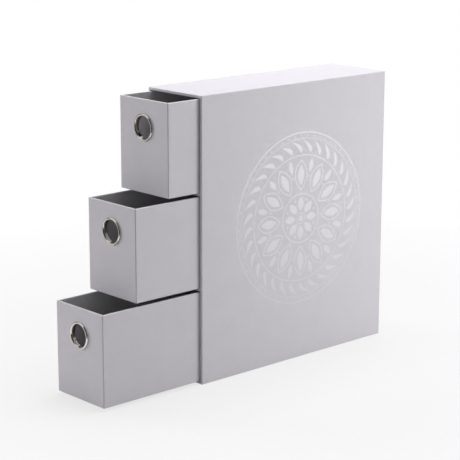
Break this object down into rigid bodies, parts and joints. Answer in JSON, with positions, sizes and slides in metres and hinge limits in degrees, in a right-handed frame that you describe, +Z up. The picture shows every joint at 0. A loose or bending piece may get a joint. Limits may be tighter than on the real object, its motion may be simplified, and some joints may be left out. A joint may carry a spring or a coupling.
{
  "type": "trading card drawer box",
  "caption": "Tall slipcase with a stack of open-topped drawers for sleeved trading cards, wrapped in plain paper, each drawer with a metal-lined finger hole.",
  "frame": {"origin": "middle of the case's underside, on the surface that it stands on", "axes": "+Z up, +Y from the open front to the back, +X to the right seen from the open front; the drawers pull out towards -Y"},
  "size_m": [0.085, 0.4096, 0.3106],
  "materials": {
    "greyboard": "matte",
    "silver_grey_paper": "satin, fine fibre grain",
    "lining_paper": "matte, looks dark in its own shade",
    "nickel": "bright nickel plate"
  },
  "bodies": {
    "case": {"case_left_wall": "greyboard", "case_right_wall": "greyboard", "case_top_board": "greyboard", "case_bottom_board": "greyboard", "case_back_board": "greyboard", "lower_shelf": "greyboard", "upper_shelf": "greyboard", "lower_shelf_edge_paper": "silver_grey_paper", "upper_shelf_edge_paper": "silver_grey_paper", "case_wrap": "silver_grey_paper", "case_base_sheet": "silver_grey_paper", "case_back_sheet": "silver_grey_paper", "bottom_bay_lining": "lining_paper", "middle_bay_lining": "lining_paper", "top_bay_lining": "lining_paper"},
    "bottom_drawer": {"bottom_drawer_front_board": "greyboard", "bottom_drawer_back_board": "greyboard", "bottom_drawer_left_wall": "greyboard", "bottom_drawer_right_wall": "greyboard", "bottom_drawer_base_board": "greyboard", "bottom_drawer_wrap": "silver_grey_paper", "bottom_drawer_lining": "lining_paper", "bottom_drawer_eyelet": "nickel", "bottom_drawer_washer": "nickel"},
    "middle_drawer": {"middle_drawer_front_board": "greyboard", "middle_drawer_back_board": "greyboard", "middle_drawer_left_wall": "greyboard", "middle_drawer_right_wall": "greyboard", "middle_drawer_base_board": "greyboard", "middle_drawer_wrap": "silver_grey_paper", "middle_drawer_lining": "lining_paper", "middle_drawer_eyelet": "nickel", "middle_drawer_washer": "nickel"},
    "top_drawer": {"top_drawer_front_board": "greyboard", "top_drawer_back_board": "greyboard", "top_drawer_left_wall": "greyboard", "top_drawer_right_wall": "greyboard", "top_drawer_base_board": "greyboard", "top_drawer_wrap": "silver_grey_paper", "top_drawer_lining": "lining_paper", "top_drawer_eyelet": "nickel", "top_drawer_washer": "nickel"}
  },
  "joints": [
    {"name": "bottom_drawer_slide", "type": "slide", "parent": "case", "child": "bottom_drawer", "axis": [0, -1, 0], "range_m": [-0.1292, 0.1353]},
    {"name": "middle_drawer_slide", "type": "slide", "parent": "case", "child": "middle_drawer", "axis": [0, -1, 0], "range_m": [-0.0854, 0.1791]},
    {"name": "top_drawer_slide", "type": "slide", "parent": "case", "child": "top_drawer", "axis": [0, -1, 0], "range_m": [-0.0417, 0.2228]}
  ]
}
